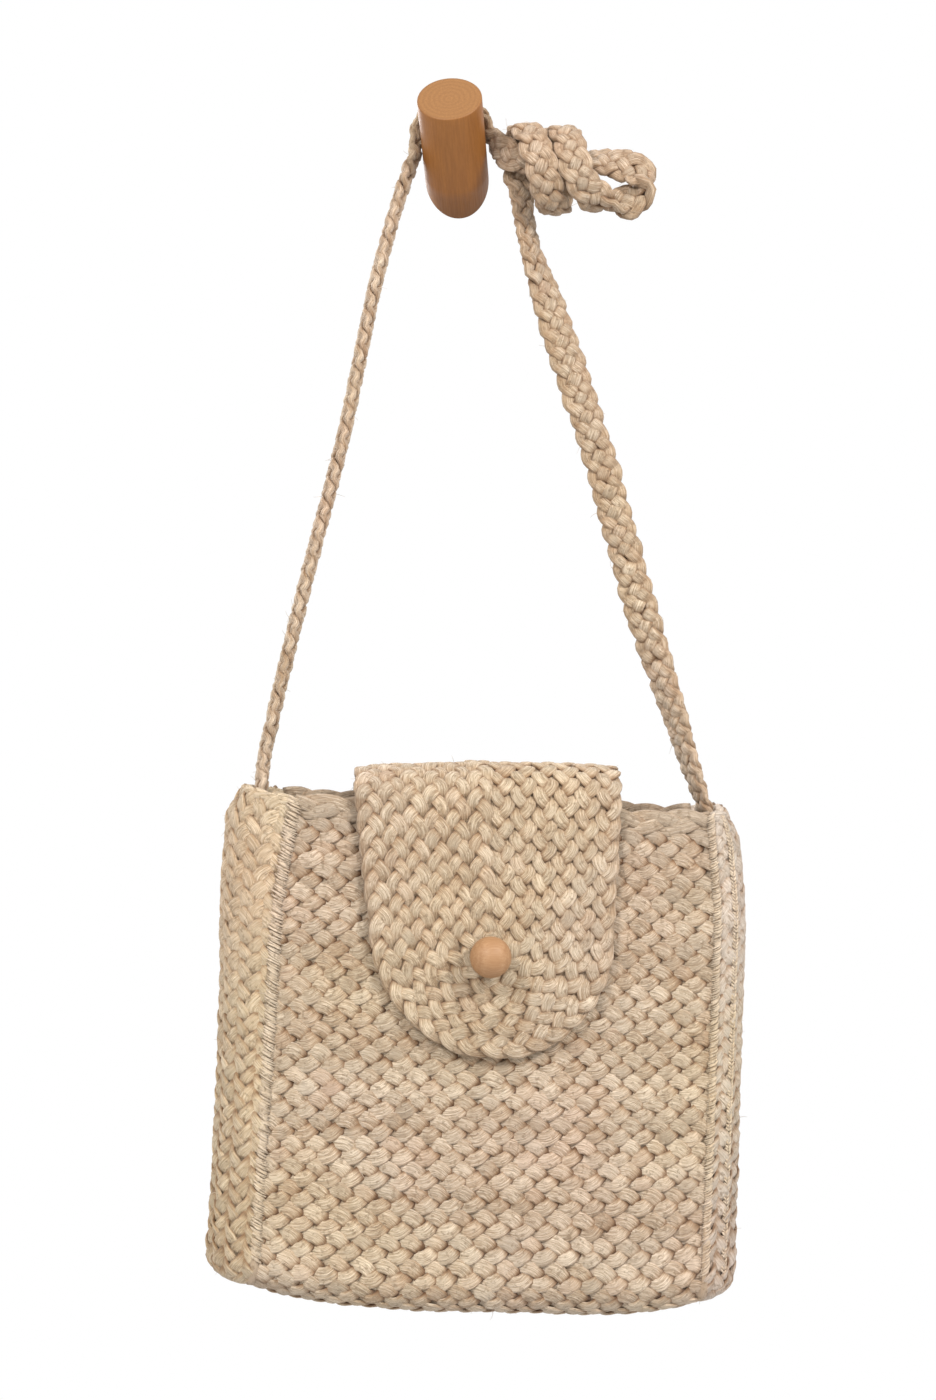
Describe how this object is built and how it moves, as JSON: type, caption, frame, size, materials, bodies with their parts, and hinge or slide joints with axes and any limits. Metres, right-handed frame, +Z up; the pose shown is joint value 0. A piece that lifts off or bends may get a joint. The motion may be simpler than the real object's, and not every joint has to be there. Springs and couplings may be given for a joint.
{
  "type": "jute handbag on a wall peg",
  "caption": "Box-shaped handbag of plaited jute with a rounded flap, a ball button and a knotted plaited strap, hung on a sloping round wooden wall peg.",
  "frame": {"origin": "middle of the peg's flat end, where it meets the wall", "axes": "+Z up, the front of the bag towards -Y, +X to the right of someone who faces the front; the wall stands turned about Z to the bag"},
  "size_m": [0.267, 0.1079, 0.6128],
  "materials": {
    "jute": "matt plaited plant fibre",
    "jute_side": "matt plaited plant fibre, a little greyer",
    "bead_wood": "satin turned wood",
    "peg_wood": "smooth oiled wood"
  },
  "bodies": {
    "root": {"body_panel": "jute", "gusset_left": "jute_side", "gusset_right": "jute_side", "flap": "jute", "button_bead": "bead_wood", "button_cord": "jute", "strap": "jute", "wall_peg": "peg_wood"}
  },
  "joints": []
}
